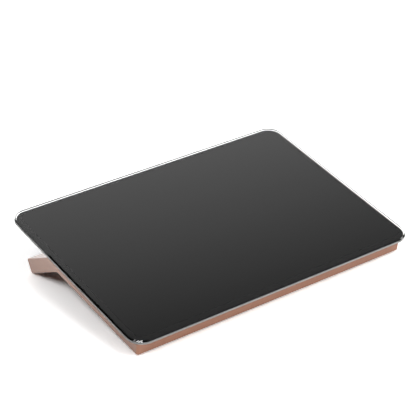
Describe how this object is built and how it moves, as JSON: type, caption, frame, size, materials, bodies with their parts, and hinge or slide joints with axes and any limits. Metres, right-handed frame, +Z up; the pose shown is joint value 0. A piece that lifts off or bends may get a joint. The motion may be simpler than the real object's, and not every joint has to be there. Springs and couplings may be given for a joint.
{
  "type": "desktop glass whiteboard",
  "caption": "Free-standing desktop whiteboard: a black-backed glass writing panel with rounded corners, bonded at a low slope to a bent rose-gold stand with rubber feet.",
  "frame": {"origin": "on the desk plane under the middle of the whole object's box", "axes": "+X along the long edge to the user's right, +Y away from the user up the slope, +Z up from the desk"},
  "size_m": [0.297, 0.2072, 0.0549],
  "materials": {
    "clear_glass": "polished clear toughened glass with a ground and polished edge",
    "black_film": "smooth opaque black film on the back of the glass",
    "foam_tape": "matt black double-sided foam tape",
    "rose_gold": "metallic rose-gold coat with a fine hairline along the length",
    "rose_plastic": "fine-textured moulded plastic in a deep rose brown",
    "screw_steel": "zinc-plated steel",
    "foot_rubber": "matt black rubber"
  },
  "bodies": {
    "root": {"glass_panel": "clear_glass", "backing_film": "black_film", "bond_tape_front": "foam_tape", "bond_tape_rear": "foam_tape", "bond_tape_left": "foam_tape", "bond_tape_right": "foam_tape", "upper_shell": "rose_gold", "lower_cover": "rose_plastic", "cover_screws": "screw_steel", "leg_screws": "screw_steel", "front_foot_left": "foot_rubber", "front_foot_right": "foot_rubber", "rear_foot_left": "foot_rubber", "rear_foot_right": "foot_rubber"}
  },
  "joints": []
}
